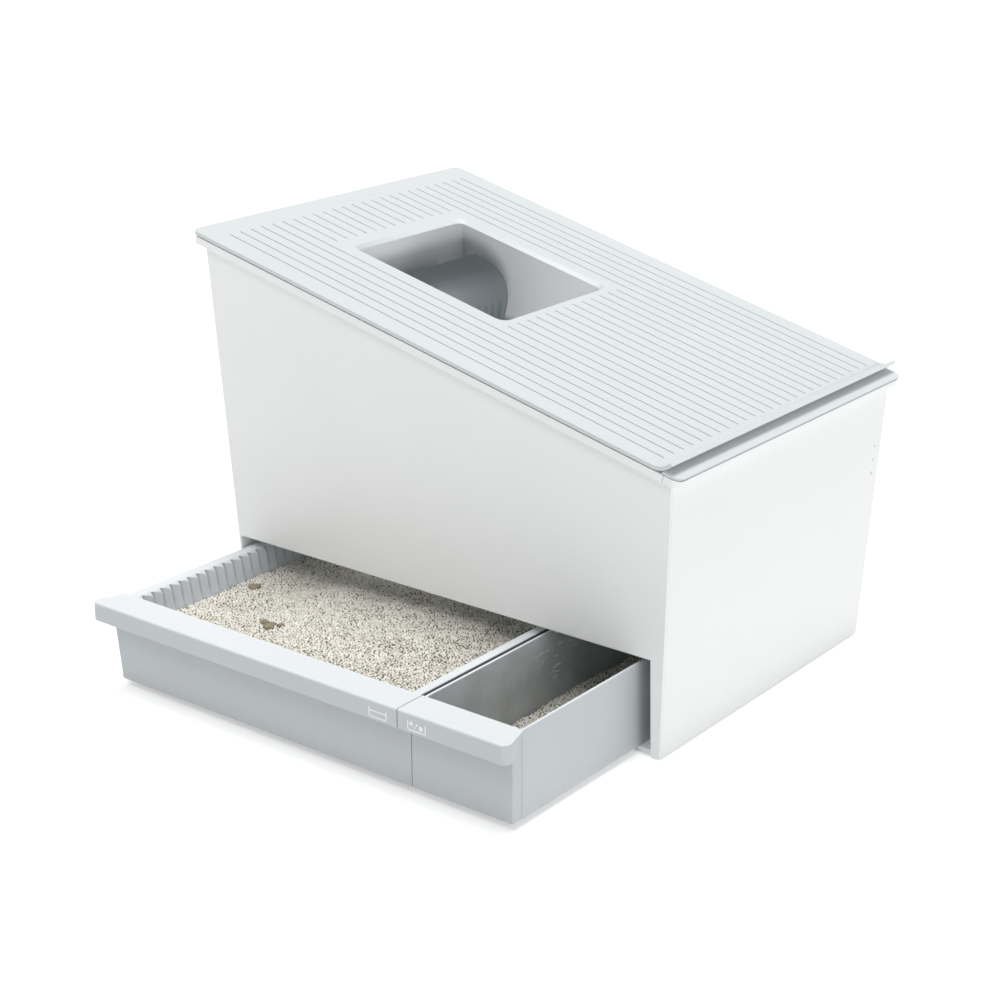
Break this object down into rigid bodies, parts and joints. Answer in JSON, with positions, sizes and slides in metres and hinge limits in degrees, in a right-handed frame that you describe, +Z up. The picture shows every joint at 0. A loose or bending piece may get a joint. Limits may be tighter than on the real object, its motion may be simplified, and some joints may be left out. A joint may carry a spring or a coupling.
{
  "type": "self-cleaning litter box",
  "caption": "Wedge-shaped cat litter box with a hinged grooved lid, a cat entry, a motor-swung scoop, a pull-out litter tray and a waste drawer.",
  "frame": {"origin": "on the ground under the middle foot, at the centre of the housing's footprint", "axes": "+X along the length from the high end to the low end, +Y from the drawers' front to the back, +Z up"},
  "size_m": [0.5673, 0.5898, 0.416],
  "materials": {
    "white_shell": "satin",
    "lid_grey": "satin",
    "drawer_grey": "satin",
    "scoop_grey": "satin",
    "steel": "satin",
    "post_aluminium": "satin",
    "rubber_black": "matte",
    "black_plastic": "matte",
    "board_green": "satin",
    "lens_clear": "gloss",
    "litter_grain": "matte"
  },
  "bodies": {
    "housing": {"base_plate": "white_shell", "front_wall": "white_shell", "back_wall": "white_shell", "high_end_wall": "white_shell", "low_end_wall": "white_shell", "top_rim": "white_shell", "low_end_rim": "white_shell", "rest_ledge": "lid_grey", "rubber_feet": "rubber_black", "drawer_guides": "drawer_grey", "floor_screws": "steel", "hinge_lugs": "white_shell", "hinge_pins": "steel", "bearing_plates": "white_shell", "stub_axles": "steel", "motor_posts": "post_aluminium", "motor_plate": "steel", "gearbox": "steel", "motor_can": "steel", "drive_cover": "white_shell", "power_inlet": "black_plastic", "control_board": "board_green", "indicator_lenses": "lens_clear", "interlock_switch": "black_plastic"},
    "lid_body": {"lid": "lid_grey", "lid_bumpers": "rubber_black"},
    "scoop_body": {"front_arm": "scoop_grey", "back_arm": "scoop_grey", "swing_gear": "scoop_grey", "scoop_shell": "scoop_grey", "scoop_end_caps": "scoop_grey", "arm_screws": "steel"},
    "pinion_body": {"drive_pinion": "steel"},
    "tray_drawer": {"litter_tray": "drawer_grey", "tray_front": "drawer_grey", "litter_bed": "litter_grain"},
    "waste_drawer": {"waste_bin": "drawer_grey", "waste_front": "drawer_grey", "waste_litter": "litter_grain"}
  },
  "joints": [
    {"name": "lid_hinge", "type": "hinge", "parent": "housing", "child": "lid_body", "pos_m": [-0.2796, 0, 0.40662], "axis": [0, -1, 0], "range_deg": [0, 80]},
    {"name": "scoop_swing", "type": "hinge", "parent": "housing", "child": "scoop_body", "pos_m": [-0.04975, 0, 0.21989], "axis": [0, -1, 0], "range_deg": [0, 29]},
    {"name": "pinion_turn", "type": "hinge", "parent": "housing", "child": "pinion_body", "pos_m": [0.00242, 0, 0.26366], "axis": [0, -1, 0], "range_deg": [-120, 5]},
    {"name": "tray_slide", "type": "slide", "parent": "housing", "child": "tray_drawer", "axis": [0, -1, 0], "range_m": [-0.18, 0.1]},
    {"name": "waste_slide", "type": "slide", "parent": "housing", "child": "waste_drawer", "axis": [0, -1, 0], "range_m": [-0.18, 0.1]}
  ],
  "couplings": [
    {"joint": "pinion_turn", "follows": "scoop_swing", "ratio": -3.8571}
  ]
}
